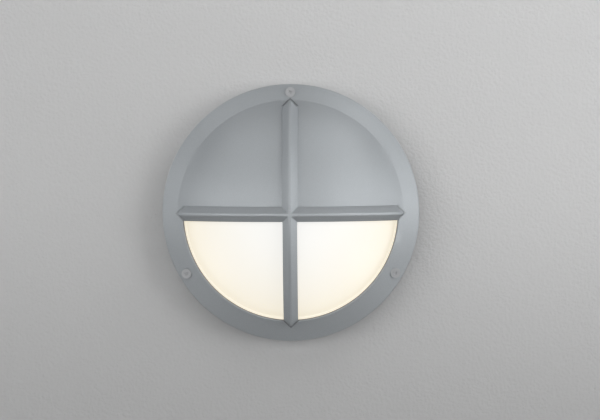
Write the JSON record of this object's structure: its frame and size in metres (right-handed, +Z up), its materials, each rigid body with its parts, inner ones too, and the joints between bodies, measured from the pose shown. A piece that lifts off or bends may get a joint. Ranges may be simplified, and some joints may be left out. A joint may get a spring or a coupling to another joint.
{
  "type": "outdoor wall light",
  "caption": "Round silver-grey outdoor wall light with a sloped ring, a half visor over the top, crossed arched bars and a lit opal dome, on a pan that screws to the wall.",
  "frame": {"origin": "middle of the pan's flat back, on the wall", "axes": "+Y into the wall, +Z up with the visor at the top, +X to the right seen from the front; the light faces -Y"},
  "size_m": [0.27, 0.0967, 0.27],
  "materials": {
    "silver_coating": "silver-grey satin metallic coating on a casting",
    "pan_coating": "silver-grey satin coating on a casting",
    "opal_dome": "satin opal, lit warm white",
    "spring_steel": "bright spring steel",
    "zinc_steel": "zinc plated",
    "stainless_steel": "stainless",
    "nylon": "natural nylon",
    "foam_rubber": "closed-cell foam",
    "silicone": "grey silicone",
    "grommet_rubber": "soft black rubber",
    "white_enamel": "white gloss enamel",
    "porcelain": "glazed white porcelain",
    "brass": "plain brass",
    "lamp_metal": "bright spun metal",
    "lamp_black": "black glassy insulator",
    "lamp_white": "white moulding",
    "lamp_opal": "opal bulb, lit warm white",
    "terminal_moulding": "natural polyamide",
    "wire_brown": "brown insulation",
    "wire_blue": "blue insulation",
    "wire_green": "green insulation with a yellow stripe"
  },
  "bodies": {
    "base": {"wall_base": "pan_coating", "wall_seal": "foam_rubber", "rim_gasket": "silicone", "fixing_seals": "foam_rubber", "cable_grommet": "grommet_rubber", "reflector_tray": "white_enamel", "tray_screws": "zinc_steel", "holder_bracket": "zinc_steel", "bracket_screws": "zinc_steel", "lamp_holder_body": "porcelain", "lamp_holder_shell": "brass", "lamp_holder_contact": "brass", "holder_screws": "zinc_steel", "terminal_block": "terminal_moulding", "terminal_tubes": "brass", "terminal_screws": "zinc_steel", "terminal_fixing_screws": "zinc_steel", "earth_tag": "brass", "earth_washer": "zinc_steel", "earth_screw": "zinc_steel", "wire_live": "wire_brown", "wire_neutral": "wire_blue", "wire_earth": "wire_green"},
    "cover": {"front_frame": "silver_coating", "diffuser": "opal_dome", "diffuser_clips": "spring_steel", "clip_screws": "zinc_steel", "screw_retainers": "nylon"},
    "cover_screw_top": {"cover_screw_top": "stainless_steel"},
    "cover_screw_left": {"cover_screw_left": "stainless_steel"},
    "cover_screw_right": {"cover_screw_right": "stainless_steel"},
    "lamp_carrier": {"lamp_tip_contact": "lamp_metal"},
    "lamp": {"lamp_insulator": "lamp_black", "lamp_cap": "lamp_metal", "lamp_collar": "lamp_white", "lamp_globe": "lamp_opal"}
  },
  "joints": [
    {"name": "cover_lift", "type": "slide", "parent": "base", "child": "cover", "axis": [0, -1, 0], "range_m": [0, 0.15]},
    {"name": "cover_screw_top_turn", "type": "hinge", "parent": "cover", "child": "cover_screw_top", "pos_m": [0, -0.03, 0.1266], "axis": [0, -1, 0], "continuous": true},
    {"name": "cover_screw_left_turn", "type": "hinge", "parent": "cover", "child": "cover_screw_left", "pos_m": [-0.10964, -0.03, -0.0633], "axis": [0, -1, 0], "continuous": true},
    {"name": "cover_screw_right_turn", "type": "hinge", "parent": "cover", "child": "cover_screw_right", "pos_m": [0.10964, -0.03, -0.0633], "axis": [0, -1, 0], "continuous": true},
    {"name": "lamp_withdraw", "type": "slide", "parent": "base", "child": "lamp_carrier", "axis": [0, 0, -1], "range_m": [0, 0.0218]},
    {"name": "lamp_turn", "type": "hinge", "parent": "lamp_carrier", "child": "lamp", "pos_m": [0, -0.041, 0.04], "axis": [0, 0, -1], "range_deg": [0, 2160]}
  ],
  "couplings": [
    {"joint": "lamp_withdraw", "follows": "lamp_turn", "m_per_rad": 0.00057757}
  ]
}
